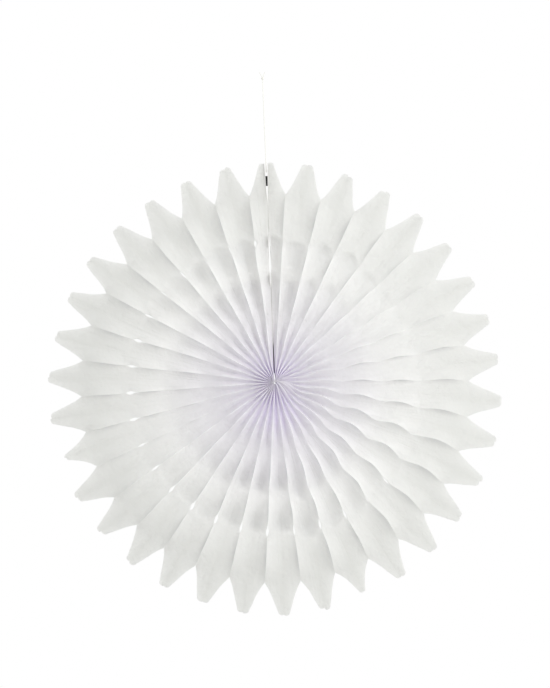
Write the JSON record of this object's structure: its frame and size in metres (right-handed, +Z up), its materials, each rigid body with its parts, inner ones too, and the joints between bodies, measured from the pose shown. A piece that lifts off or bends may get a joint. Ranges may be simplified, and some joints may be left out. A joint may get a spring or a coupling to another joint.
{
  "type": "hanging paper fan rosette",
  "caption": "Round hanging decoration of glued white tissue pleats with petal tips, closed at a seam by two cards and a clip, on a thread.",
  "frame": {"origin": "centre of the fan, in the middle of its depth", "axes": "+Z up along the seam to the hanging thread, +X to the right seen from the front, front faces -Y"},
  "size_m": [0.45, 0.0396, 0.5435],
  "materials": {
    "tissue": "matte",
    "card": "matte",
    "clip": "satin",
    "thread": "matte"
  },
  "bodies": {
    "root": {"tissue_fan": "tissue", "left_end_card": "card", "right_end_card": "card", "closing_clip": "clip", "hanging_thread": "thread", "lower_knot": "thread", "top_knot": "thread"}
  },
  "joints": []
}
